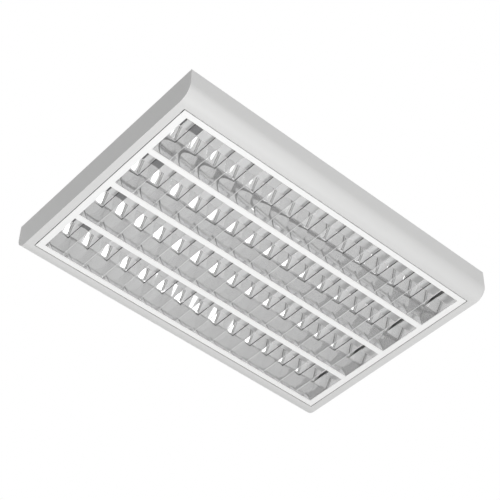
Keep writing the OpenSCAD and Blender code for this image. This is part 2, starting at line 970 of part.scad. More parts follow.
// Lead that leaves [start_x, start_y] in -X, rises over the troughs, turns at lane_x
// towards end_y and turns to -X again. The sign of end_y - start_y sets the side.
module led_lead(start_x, start_y, lane_x, end_y) {
    s = end_y > start_y ? 1 : -1;
    r = lead_rise_r;
    run = abs(end_y - start_y) - 2 * bend_r;
    translate([(start_x + lead_rise_x) / 2, start_y, wire_z])
        rod_x(lead_d, start_x - lead_rise_x);
    translate([lead_rise_x, start_y, wire_z + r])
        rotate([90, 0, 0])
            rotate([0, 0, 180])
                wire_bend(lead_d, r);
    translate([lead_rise_x - 2 * r, start_y, wire_z + r])
        rotate([90, 0, 0])
            wire_bend(lead_d, r);
    translate([(lead_rise_x - 2 * r + lane_x + bend_r) / 2, start_y, lead_z])
        rod_x(lead_d, lead_rise_x - 2 * r - lane_x - bend_r);
    translate([lane_x + bend_r, start_y + s * bend_r, lead_z])
        rotate([0, 0, s > 0 ? 180 : 90])
            wire_bend(lead_d, bend_r);
    translate([lane_x, start_y + s * (bend_r + run / 2), lead_z])
        rotate([90, 0, 0])
            cylinder(d = lead_d, h = run, center = true);
    translate([lane_x - bend_r, end_y - s * bend_r, lead_z])
        rotate([0, 0, s > 0 ? 0 : -90])
            wire_bend(lead_d, bend_r);
    translate([(lane_x - bend_r + lead_end_x) / 2, end_y, lead_z])
        rod_x(lead_d, lane_x - bend_r - lead_end_x);
}

module led_leads() {
    start = driver_low_x - terminal_reach + wire_grip;
    color("firebrick")
        for (i = [0:channels - 1])
            led_lead(
                start, lead_ys[i],
                (i == 0 || i == channels - 1) ? lead_lane_2 : lead_lane_1,
                channel_ys[i]
            );
}

// Louvre hinge and catch

// Saddle over the opening's lip that ends in a barrel round the hinge axis.
module hinge_bracket() {
    color("silver")
        difference() {
            union() {
                translate([0, hinge_y, hinge_z])
                    rod_x(barrel_d, arm_w);
                box(
                    [-arm_w / 2, hinge_y - arm_t / 2, hinge_z],
                    [arm_w / 2, hinge_y + arm_t / 2, arm_top_z + arm_t]
                );
                box(
                    [-arm_w / 2, hinge_y - arm_t / 2, arm_top_z],
                    [arm_w / 2, lip_outer_y + arm_t, arm_top_z + arm_t]
                );
                box(
                    [-arm_w / 2, lip_outer_y, -body_h + shell_t],
                    [arm_w / 2, lip_outer_y + arm_t, arm_top_z + arm_t]
                );
            }
            translate([0, hinge_y, hinge_z])
                rod_x(pin_d + 2 * pin_fit, arm_w + 2 * cut);
        }
}

module hinge_brackets() {
    for (s = [-1, 1])
        translate([s * hinge_x, 0, 0])
            hinge_bracket();
}

module hinge_pins() {
    color("silver")
        for (s = [-1, 1])
            translate([s * hinge_x, hinge_y, hinge_z])
                rod_x(pin_d, pin_l);
}

// Saddle over the lip that holds a magnet above the front rail.
module catch_brackets() {
    low = magnet_z + magnet_h;
    color("silver")
        for (s = [-1, 1])
            translate([s * catch_x, 0, 0]) {
                box(
                    [-catch_w / 2, -lip_outer_y - arm_t, low],
                    [catch_w / 2, -magnet_y + magnet_d / 2 + magnet_margin, low + arm_t]
                );
                box(
                    [-catch_w / 2, -lip_outer_y - arm_t, -body_h + shell_t],
                    [catch_w / 2, -lip_outer_y, low + arm_t]
                );
            }
}

module catch_magnets() {
    color("gray")
        for (s = [-1, 1])
            translate([s * catch_x, -magnet_y])
                post(magnet_d, magnet_z, magnet_z + magnet_h);
}

// Louvre frame

// Long rail at +Y: face, upstand and turned-in top edge.
module long_rail() {
    along_x(louvre_l)
        union() {
            translate([opening_w / 2, face_z])
                square([rail_face_w, frame_t]);
            translate([upstand_y, face_z])
                square([frame_t, rail_h]);
            translate([louvre_w / 2 - rail_return_w, rail_top_z - frame_t])
                square([rail_return_w, frame_t]);
        }
}

module front_rail() {
    color("white")
        mirror([0, 1, 0])
            long_rail();
}

// Back rail with a slot for each hinge arm and an ear on both sides of it.
module back_rail() {
    ear_x = arm_w / 2 + ear_gap + ear_t / 2;
    ear_reach = upstand_y - hinge_y + frame_t / 2;
    color("white")
        difference() {
            union() {
                long_rail();
                for (h = [-1, 1], s = [-1, 1])
                    translate([h * hinge_x + s * ear_x, 0, 0])
                        along_x(ear_t)
                            union() {
                                translate([hinge_y, hinge_z])
                                    circle(d = barrel_d);
                                translate([hinge_y - barrel_d / 2, seat_z])
                                    square([barrel_d, hinge_z - seat_z]);
                                translate([hinge_y, seat_z])
                                    square([ear_reach, hinge_z + barrel_d / 2 - seat_z]);
                            }
            }
            for (h = [-1, 1])
                translate([h * hinge_x, 0, 0]) {
                    box(
                        [-slot_w / 2, upstand_y - cut, seat_z],
                        [slot_w / 2, louvre_w / 2 + cut, arm_top_z + arm_t + slot_above]
                    );
                    translate([0, hinge_y, hinge_z])
                        rod_x(pin_d + 2 * press_fit, pin_l + 2 * cut);
                }
        }
}

// End rail at +X, between the long rails.
module end_rail() {
    color("white") {
        box([opening_l / 2, -opening_w / 2, face_z], [louvre_l / 2, opening_w / 2, seat_z]);
        box(
            [louvre_l / 2 - frame_t, -opening_w / 2, face_z],
            [louvre_l / 2, opening_w / 2, rail_top_z]
        );
    }
}

module end_rail_left() {
    mirror([1, 0, 0])
        end_rail();
}

module end_rail_right() {
    end_rail();
}

module divider_strips() {
    color("white")
        for (y = divider_ys)
            translate([0, y, 0]) {
                box([-opening_l / 2, -strip_w / 2, face_z], [opening_l / 2, strip_w / 2, seat_z]);
                box(
                    [-opening_l / 2 - tongue_l, -tongue_half_w, seat_z],
                    [opening_l / 2 + tongue_l, tongue_half_w, seat_z + tongue_t]
                );
            }
}

// Louvre reflectors

// Section of one mirror wall at the +Y side of a channel, in Y and Z.
module wall_section() {
    face = [for (i = [0:wall_steps]) [wall_half(i / wall_steps), wall_z(i / wall_steps)]];
    back = [for (i = [wall_steps:-1:0]) face[i] + [mirror_t, 0]];
    polygon(concat(face, back));
}

module front_reflector() {
    color([0.82, 0.83, 0.85])
        along_x(opening_l)
            translate([channel_ys[0], 0])
                mirror([1, 0])
                    wall_section();
}

module back_reflector() {
    color([0.82, 0.83, 0.85])
        along_x(opening_l)
            translate([channel_ys[channels - 1], 0])
                wall_section();
}

// Section of the sheet folded round a divider strip: a web and the walls of both channels.
module divider_section() {
    foot = strip_w / 2 - mirror_t;
    web_z = seat_z + tongue_t;
    face = [
        for (i = [0:wall_steps])
            [channel_pitch / 2 - wall_half(i / wall_steps), wall_z(i / wall_steps)]
    ];
    back = [for (i = [wall_steps:-1:1]) face[i] - [mirror_t, 0]];
    half = concat([[foot, web_z], [foot, seat_z]], face, back, [[foot, web_z + mirror_t]]);
    polygon(concat(half, [for (i = [len(half) - 1:-1:0]) [-half[i][0], half[i][1]]]));
}

module divider_reflector(y) {
    color([0.82, 0.83, 0.85])
        along_x(opening_l)
            translate([y, 0])
                divider_section();
}

// End plate of the channels at +X, notched over the strips' tongues.
module end_reflector() {
    color([0.82, 0.83, 0.85])
        difference() {
            box(
                [opening_l / 2, -opening_w / 2, seat_z],
                [opening_l / 2 + mirror_t, opening_w / 2, wall_top_z]
            );
            for (y = divider_ys)
                translate([0, y, 0])
                    box(
                        [opening_l / 2 - cut, -tongue_half_w - tongue_gap, seat_z - cut],
                        [opening_l / 2 + mirror_t + cut, tongue_half_w + tongue_gap,
                            seat_z + tongue_t + tongue_gap]
                    );
        }
}

module end_reflector_left() {
    mirror([1, 0, 0])
        end_reflector();
}

module end_reflector_right() {
    end_reflector();
}

// Section of a cross blade in X and Z: a V that is open at the top.
module blade_section() {
    h = wall_top_z - blade_bottom_z;
    right = [for (i = [0:blade_steps]) [blade_half(i / blade_steps), blade_bottom_z + h * i / blade_steps]];
    inner = [for (i = [blade_steps:-1:0]) right[i] - [mirror_t, i == 0 ? -mirror_t : 0]];
    half = concat(right, inner);
    polygon(concat(half, [for (i = [len(half) - 1:-1:0]) [-half[i][0], half[i][1]]]));
}

// Outline of one channel in Y and Z, smaller than its walls by the blades' end gap.
module channel_section() {
    side = [for (i = [0:wall_steps]) [wall_half(i / wall_steps) - blade_fit, wall_z(i / wall_steps)]];
    polygon(concat(side, [for (i = [wall_steps:-1:0]) [-side[i][0], side[i][1]]]));
}

module cross_blades(y) {
    color([0.82, 0.83, 0.85])
        translate([0, y, 0])
            intersection() {
                along_x(opening_l)
                    channel_section();
                for (i = [0:blades - 1])
                    translate([(i - (blades - 1) / 2) * blade_pitch, 0, 0])
                        rotate([90, 0, 0])
                            linear_extrude(channel_w, center = true)
                                blade_section();
            }
}

housing_shell();
end_plate_left();
end_plate_right();
end_plate_rivets();
cable_grommet();
gear_tray();
lamp_troughs();
tray_standoffs();
tray_screws();
led_board(channel_ys[0]);  // led_board_1
led_board(channel_ys[1]);  // led_board_2
led_board(channel_ys[2]);  // led_board_3
led_board(channel_ys[3]);  // led_board_4
led_packages();
led_cover(channel_ys[0]);  // led_cover_1
led_cover(channel_ys[1]);  // led_cover_2
led_cover(channel_ys[2]);  // led_cover_3
led_cover(channel_ys[3]);  // led_cover_4
board_connectors();
board_rivets();
driver_case();
driver_lid();
driver_circuit_board();
driver_transformer();
driver_capacitors();
driver_input_terminal();
driver_output_terminal();
driver_screws();
mains_terminal_block();
terminal_clamps();
release_button_live();
release_button_neutral();
release_button_earth();
live_wire();
neutral_wire();
earth_wire();
earth_lug();
earth_screw();
led_leads();
hinge_brackets();
hinge_pins();
catch_brackets();
catch_magnets();
front_rail();
back_rail();
end_rail_left();
end_rail_right();
divider_strips();
front_reflector();
back_reflector();
divider_reflector(divider_ys[0]);  // divider_reflector_1
divider_reflector(divider_ys[1]);  // divider_reflector_2
divider_reflector(divider_ys[2]);  // divider_reflector_3
end_reflector_left();
end_reflector_right();
cross_blades(channel_ys[0]);  // cross_blades_row_1
cross_blades(channel_ys[1]);  // cross_blades_row_2
cross_blades(channel_ys[2]);  // cross_blades_row_3
cross_blades(channel_ys[3]);  // cross_blades_row_4
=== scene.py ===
"""Surface-mounted linear LED light with a mirrored four-channel louvre, seen from below."""

import json
import logging
import math
from dataclasses import dataclass, field
from enum import Enum
from typing import Sequence, Union

import bmesh
import bpy
from mathutils import Matrix, Vector


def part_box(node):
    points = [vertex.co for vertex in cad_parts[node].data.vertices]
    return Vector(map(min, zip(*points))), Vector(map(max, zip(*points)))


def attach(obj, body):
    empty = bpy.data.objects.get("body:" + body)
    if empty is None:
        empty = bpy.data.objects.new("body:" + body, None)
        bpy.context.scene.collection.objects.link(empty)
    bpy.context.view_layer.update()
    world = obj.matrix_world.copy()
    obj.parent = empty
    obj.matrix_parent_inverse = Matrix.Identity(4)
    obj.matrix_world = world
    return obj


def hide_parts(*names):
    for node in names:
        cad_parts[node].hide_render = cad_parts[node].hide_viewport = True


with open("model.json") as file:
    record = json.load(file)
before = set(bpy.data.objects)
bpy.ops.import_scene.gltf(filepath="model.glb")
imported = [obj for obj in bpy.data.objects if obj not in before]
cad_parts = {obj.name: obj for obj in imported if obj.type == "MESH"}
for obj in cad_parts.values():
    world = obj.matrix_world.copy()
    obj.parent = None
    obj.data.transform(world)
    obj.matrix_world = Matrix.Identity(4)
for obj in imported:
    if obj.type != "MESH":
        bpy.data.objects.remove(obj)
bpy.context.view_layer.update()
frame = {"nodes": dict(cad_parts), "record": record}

LOG = logging.getLogger("linear_light")
MM = 0.001
# Points of an imported mesh that are closer than this are one point.
WELD = 0.01 * MM
Colour = tuple[float, float, float]
Point2 = tuple[float, float]
Operand = Union["Signal", float, Sequence[float]]


class Body(Enum):
    """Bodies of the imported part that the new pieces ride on."""

    LOUVRE = "louvre"


class Slot(Enum):
    """Names of the finishes that the new pieces take, all but EDGE slots of the record; EDGE is
    near black, painted as the dark reflection on the blades' rolled edges.
    """

    MIRROR = "mirror_aluminium"
    WHITE = "louvre_white"
    # Near black painted as the dark reflection that the blades' mirror-rolled edges show.
    EDGE = "rolled_edge_painted_dark"


# Shader maths


# Scale at which a wave texture repeats once in a metre.
WAVE_SCALE = math.pi / 10


@dataclass
class Signal:
    """A shader socket that takes part in sums and products as a number does."""

    graph: "Graph"
    socket: bpy.types.NodeSocket

    def _combine(self, operation: str, first: Operand, second: Operand) -> "Signal":
        """Joins two operands with a Math node, or with Vector Math if one is a vector or colour.

        Args:
            operation: the node's operation.
            first: the left operand.
            second: the right operand.

        Returns:
            The result.
        """
        wide = any(self.graph.is_wide(value) for value in (first, second))
        kind = "ShaderNodeVectorMath" if wide else "ShaderNodeMath"
        values = [self.graph.widened(v) if wide else v for v in (first, second)]
        node = self.graph.node(kind, dict(enumerate(values)), operation=operation)
        return Signal(self.graph, node.outputs[0])

    def __add__(self, other: Operand) -> "Signal":
        """Sum with another signal or constant."""
        return self._combine("ADD", self, other)

    def __sub__(self, other: Operand) -> "Signal":
        """Difference from another signal or constant."""
        return self._combine("SUBTRACT", self, other)

    def __mul__(self, other: Operand) -> "Signal":
        """Product with another signal or constant."""
        return self._combine("MULTIPLY", self, other)

    def __truediv__(self, other: Operand) -> "Signal":
        """Quotient by another signal or constant."""
        return self._combine("DIVIDE", self, other)

    def __radd__(self, other: Operand) -> "Signal":
        """Sum of a constant and this signal."""
        return self._combine("ADD", other, self)

    def __rsub__(self, other: Operand) -> "Signal":
        """Difference of a constant and this signal."""
        return self._combine("SUBTRACT", other, self)

    def __rmul__(self, other: Operand) -> "Signal":
        """Product of a constant and this signal."""
        return self._combine("MULTIPLY", other, self)

    def __rtruediv__(self, other: Operand) -> "Signal":
        """Quotient of a constant by this signal."""
        return self._combine("DIVIDE", other, self)

    def blend(self, low: Operand, high: Operand) -> "Signal":
        """Colour between two others, with this signal as the factor.

        Args:
            low: the colour at factor 0.
            high: the colour at factor 1.

        Returns:
            The mixed colour.
        """
        node = self.graph.node("ShaderNodeMix", {}, data_type="RGBA", clamp_factor=True)
        self.graph.feed(node.inputs["Factor"], self)
        sockets = [s for s in node.inputs if s.type == "RGBA"]
        for socket, value in zip(sockets, (low, high)):
            self.graph.feed(socket, value)
        return Signal(self.graph, next(s for s in node.outputs if s.type == "RGBA"))


@dataclass
class Graph:
    """A node tree with the few calls that the finishes need."""

    tree: bpy.types.NodeTree

    @staticmethod
    def is_wide(value: Operand) -> bool:
        """Tells whether a value has three parts.

        Args:
            value: a signal or a constant.

        Returns:
            True for a vector or colour.
        """
        if isinstance(value, Signal):
            return value.socket.type in {"VECTOR", "RGBA"}
        return isinstance(value, (tuple, list))

    def widened(self, value: Operand) -> Operand:
        """The value as three numbers where it is a plain number."""
        return (value,) * 3 if isinstance(value, (int, float)) else value

    def feed(self, socket: bpy.types.NodeSocket, value: Operand) -> None:
        """Links a signal to a socket, or sets a constant on it.

        Args:
            socket: the input that is fed.
            value: a signal or a constant.
        """
        if isinstance(value, Signal):
            self.tree.links.new(value.socket, socket)
        elif socket.type == "RGBA" and isinstance(value, (tuple, list)):
            socket.default_value = (*value[:3], 1.0)
        else:
            socket.default_value = value

    def node(self, kind: str, inputs: dict, **settings: object) -> bpy.types.Node:
        """Adds any node.

        Args:
            kind: the node's type name.
            inputs: socket name or index to signal or constant.
            settings: properties of the node itself.

        Returns:
            The new node.
        """
        made = self.tree.nodes.new(kind)
        for name, value in settings.items():
            setattr(made, name, value)
        for key, value in inputs.items():
            self.feed(made.inputs[key], value)
        return made

    def place(self) -> Signal:
        """Position on the piece, in metres."""
        return Signal(self, self.node("ShaderNodeTexCoord", {}).outputs["Object"])

    def noise(
        self, size: float, detail: float = 2.0, stretch: Sequence[float] = (1, 1, 1)
    ) -> Signal:
        """Smooth noise from 0 to 1.

        Args:
            size: length of its features in metres.
            detail: number of finer octaves.
            stretch: how much finer it is along each axis.

        Returns:
            The noise value.
        """
        node = self.node(
            "ShaderNodeTexNoise",
            {"Vector": self.place() * tuple(stretch), "Scale": 1 / size, "Detail": detail},
        )
        return Signal(self, node.outputs["Fac"])

    def wave(self, pitch: float, direction: str = "X") -> Signal:
        """Even bands from 0 to 1.

        Args:
            pitch: distance between two bands in metres.
            direction: the axis that the bands follow each other along.

        Returns:
            The height of the bands.
        """
        node = self.node(
            "ShaderNodeTexWave",
            {"Vector": self.place(), "Scale": WAVE_SCALE / pitch},
            bands_direction=direction,
        )
        return Signal(self, node.outputs["Fac"])

    def ramp(self, value: Signal, low: float, high: float) -> Signal:
        """Stretches a value.

        Args:
            value: the signal to stretch.
            low: what becomes 0.
            high: what becomes 1.

        Returns:
            The stretched signal, held between 0 and 1.
        """
        node = self.node("ShaderNodeMapRange", {"Value": value, "From Min": low, "From Max": high})
        return Signal(self, node.outputs["Result"])

    def bump(self, height: Signal, distance: float, strength: float) -> Signal:
        """Turns a height field into a normal.

        Args:
            height: the field, from 0 to 1.
            distance: its depth in metres.
            strength: share of the effect.

        Returns:
            The normal.
        """
        node = self.node(
            "ShaderNodeBump", {"Height": height, "Distance": distance, "Strength": strength}
        )
        return Signal(self, node.outputs["Normal"])


# Finishes


@dataclass(frozen=True)
class Finish:
    """A surface whose colour, gloss and relief vary a little, as a real one's do."""

    name: str
    colour: Colour
    roughness: float
    metallic: float = 0.0
    mottle: float = 0.03
    mottle_size: float = 0.04
    grain_size: float = 0.0008
    grain_depth: float = 0.00001
    grain_stretch: Colour = (1.0, 1.0, 1.0)
    gloss_change: float = 0.05
    coat: float = 0.0
    coat_roughness: float = 0.15

    def tint(self, graph: Graph) -> Signal:
        """Base colour, a little darker and lighter from place to place.

        Args:
            graph: the material's node tree.

        Returns:
            The colour.
        """
        dark = tuple(c * (1 - self.mottle) for c in self.colour)
        light = tuple(min(1.0, c * (1 + self.mottle)) for c in self.colour)
        return graph.noise(self.mottle_size, 3.0).blend(dark, light)

    def relief(self, graph: Graph) -> Signal:
        """Height of the fine grain, from 0 to 1."""
        return graph.noise(self.grain_size, 2.0, self.grain_stretch)

    def build(self) -> bpy.types.Material:
        """Makes the material.

        Returns:
            A new node material.
        """
        material = bpy.data.materials.new(self.name)
        material.use_nodes = True
        material.diffuse_color = (*self.colour, 1.0)
        graph = Graph(material.node_tree)
        surface = material.node_tree.nodes["Principled BSDF"]
        gloss = self.roughness + (graph.noise(self.mottle_size / 3) - 0.5) * self.gloss_change
        graph.feed(surface.inputs["Base Color"], self.tint(graph))
        graph.feed(surface.inputs["Roughness"], gloss)
        graph.feed(surface.inputs["Normal"], graph.bump(self.relief(graph), self.grain_depth, 1.0))
        surface.inputs["Metallic"].default_value = self.metallic
        surface.inputs["Coat Weight"].default_value = self.coat
        surface.inputs["Coat Roughness"].default_value = self.coat_roughness
        return material


@dataclass(frozen=True)
class StripedSleeve(Finish):
    """Wire insulation in two colours that run along it side by side."""

    second: Colour = (0.9, 0.8, 0.1)
    pitch: float = 0.0016
    border: Point2 = (0.45, 0.55)

    def tint(self, graph: Graph) -> Signal:
        """Two-colour stripe."""
        return graph.ramp(graph.wave(self.pitch, "Y"), *self.border).blend(self.colour, self.second)


@dataclass(frozen=True)
class SolderMask(Finish):
    """Coated circuit board with its copper tracks just showing as a lighter pattern."""

    track: Colour = (0.85, 0.86, 0.84)
    pitch: float = 0.009
    border: Point2 = (0.80, 0.86)
    show: float = 0.6

    def tint(self, graph: Graph) -> Signal:
        """Board colour with bands for the tracks."""
        tracks = graph.ramp(graph.wave(self.pitch), *self.border)
        return (tracks * self.show).blend(self.colour, self.track)


POWDER = Finish(
    "powder_coat", (0.7, 0.7, 0.695), 0.42,
    mottle=0.012, mottle_size=0.11, grain_size=0.0012, grain_depth=0.000012,
)
ENAMEL = Finish(
    "white_enamel", (0.93, 0.93, 0.925), 0.3,
    mottle=0.01, mottle_size=0.09, grain_size=0.0016, grain_depth=0.000006,
)
MIRROR = Finish(
    "mirror_aluminium", (0.93, 0.93, 0.93), 0.03, metallic=0.75, mottle=0.012, mottle_size=0.06,
    grain_size=0.0009, grain_depth=0.0000006, grain_stretch=(0.04, 1.0, 1.0), gloss_change=0.01,
)
WIRE: dict[str, float] = {"mottle": 0.08, "mottle_size": 0.006}
FINISHES: dict[str, Finish] = {
    "white_powder_coat": POWDER,
    "louvre_white": ENAMEL,
    "mirror_aluminium": MIRROR,
    # Painted dark reflection: the blades' rolled edges are mirror aluminium, drawn near black for
    # the dark lines that they reflect.
    "rolled_edge_painted_dark": Finish("rolled_edge_painted_dark", (0.05, 0.05, 0.05), 0.45, mottle=0.1, mottle_size=0.01),
    "zinc_steel": Finish(
        "zinc_steel", (0.6, 0.61, 0.63), 0.34,
        metallic=1.0, mottle=0.12, mottle_size=0.006, gloss_change=0.18,
    ),
    "magnet_nickel": Finish("nickel", (0.62, 0.61, 0.58), 0.18, metallic=1.0, mottle_size=0.004),
    "black_rubber": Finish("rubber", (0.035, 0.035, 0.036), 0.8, mottle=0.2, grain_depth=0.00003),
    "board_laminate": SolderMask("board_laminate", (0.78, 0.78, 0.75), 0.4, coat=0.2),
    "led_phosphor": Finish(
        "led_phosphor", (0.86, 0.72, 0.3), 0.25, mottle=0.08, mottle_size=0.002, coat=0.5,
    ),
    "clear_cover": Finish("opal_cover", (0.72, 0.72, 0.72), 0.38, mottle=0.01, coat=0.3),
    "connector_grey": Finish(
        "connector_grey", (0.16, 0.16, 0.165), 0.5, mottle=0.1, mottle_size=0.004,
    ),
    "white_nylon": Finish("nylon", (0.8, 0.8, 0.77), 0.45, mottle=0.03, mottle_size=0.005),
    "driver_steel": Finish(
        "driver_steel", (0.74, 0.74, 0.73), 0.36, mottle=0.02, gloss_change=0.1,
    ),
    "circuit_green": SolderMask(
        "circuit_green", (0.03, 0.2, 0.08), 0.35, track=(0.08, 0.36, 0.16), coat=0.4,
    ),
    "ferrite": Finish(
        "ferrite", (0.06, 0.06, 0.065), 0.6, mottle=0.25, mottle_size=0.003, grain_depth=0.00004,
    ),
    "capacitor_sleeve": Finish(
        "capacitor_sleeve", (0.03, 0.06, 0.14), 0.28, mottle_size=0.004, coat=0.4,
    ),
    "terminal_ivory": Finish("terminal_ivory", (0.78, 0.75, 0.64), 0.42, mottle_size=0.006),
    "clamp_brass": Finish(
        "clamp_brass", (0.72, 0.52, 0.2), 0.28, metallic=1.0, mottle=0.1, mottle_size=0.004,
    ),
    "button_orange": Finish(
        "button_orange", (0.85, 0.27, 0.03), 0.34, mottle_size=0.004, coat=0.3,
    ),
    "wire_brown": Finish("wire_brown", (0.15, 0.06, 0.025), 0.42, **WIRE),
    "wire_blue": Finish("wire_blue", (0.03, 0.1, 0.5), 0.42, **WIRE),
    "wire_green_yellow": StripedSleeve("wire_green_yellow", (0.08, 0.35, 0.05), 0.42),
    "wire_red": Finish("wire_red", (0.5, 0.03, 0.025), 0.42, **WIRE),
}


@dataclass
class Paintshop:
    """Makes each material once and hands it out by its name in FINISHES."""

    made: dict[str, bpy.types.Material] = field(default_factory=dict)

    def material(self, slot: str) -> bpy.types.Material:
        """Makes a material at its first use.

        Args:
            slot: its name in FINISHES, for a CAD node the record's slot.

        Returns:
            The material.
        """
        if slot not in self.made:
            self.made[slot] = FINISHES[slot].build()
        return self.made[slot]

    def paint_nodes(self) -> None:
        """Gives every CAD node the finish of its slot."""
        for row in frame["record"]["subparts"]:
            node = frame["nodes"][row["node"]]
            node.data.materials.clear()
            node.data.materials.append(self.material(row["material_slot"]))


# Mesh helpers


def link_mesh(
    name: str, mesh_maker: bmesh.types.BMesh, material: bpy.types.Material
) -> bpy.types.Object:
    """Turns finished mesh data into an object with a material.

    Args:
        name: the piece's name.
        mesh_maker: the mesh data, freed here.
        material: the finish.

    Returns:
        The object, linked to the scene.
    """
    bmesh.ops.recalc_face_normals(mesh_maker, faces=mesh_maker.faces)
    mesh = bpy.data.meshes.new(name)
    mesh_maker.to_mesh(mesh)
    mesh_maker.free()
    made = bpy.data.objects.new(name, mesh)
    bpy.context.scene.collection.objects.link(made)
    mesh.materials.append(material)
    return made


def add_prism(maker: bmesh.types.BMesh, rows: Sequence[Sequence[Vector]], sharp: float) -> None:
    """Skins a closed section that runs along a length, and caps both ends.

    Args:
        maker: the mesh that is added to.
        rows: for each point of the closed section, its places along the length.
        sharp: angle in radians above which an edge stays sharp.
    """
    made = [[maker.verts.new(point) for point in row] for row in rows]
    skin = []
    for i, row in enumerate(made):
        after = made[(i + 1) % len(made)]
        for j in range(len(row) - 1):
            skin.append(maker.faces.new((row[j], row[j + 1], after[j + 1], after[j])))
    caps = [maker.faces.new([row[end] for row in made]) for end in (0, -1)]
    for face in skin:
        face.smooth = True
    maker.normal_update()
    edges = {edge for face in skin + caps for edge in face.edges}
    for edge in edges:
        if len(edge.link_faces) == 2 and edge.calc_face_angle(0.0) > sharp:
            edge.smooth = False


def thick_line(line: Sequence[Point2], thickness: float) -> list[Point2]:
    """Closed outline of a sheet that follows a line.

    Args:
        line: points of the sheet's visible face.
        thickness: how far the back lies to the left of the direction of travel.

    Returns:
        The face's points, then the back's points in reverse.
    """
    back = []
    for i, point in enumerate(line):
        before, after = line[max(i - 1, 0)], line[min(i + 1, len(line) - 1)]
        along = Vector((after[0] - before[0], after[1] - before[1])).normalized()
        back.append((point[0] - along.y * thickness, point[1] + along.x * thickness))
    return list(line) + back[::-1]


# Louvre


@dataclass(frozen=True)
class ChannelShape:
    """Section of one channel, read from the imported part."""

    centre: float
    half_low: float
    half_high: float
    low: float
    high: float
    curve: float = 1.5

    def half(self, z: float) -> float:
        """Half width of the channel at a height.

        Args:
            z: the height in metres.

        Returns:
            Distance from the channel's middle to its wall.
        """
        share = min(1.0, max(0.0, (z - self.low) / (self.high - self.low)))
        return self.half_low - (self.half_low - self.half_high) * share**self.curve

    def wall(self, side: int, steps: int) -> list[Point2]:
        """Points of the wall at one side, from the opening to its top.

        Args:
            side: -1 or 1, the wall's direction from the channel's middle.
            steps: number of parts.

        Returns:
            Points in Y and Z.
        """
        heights = [self.low + (self.high - self.low) * i / steps for i in range(steps + 1)]
        return [(self.centre + side * self.half(z), z) for z in heights]


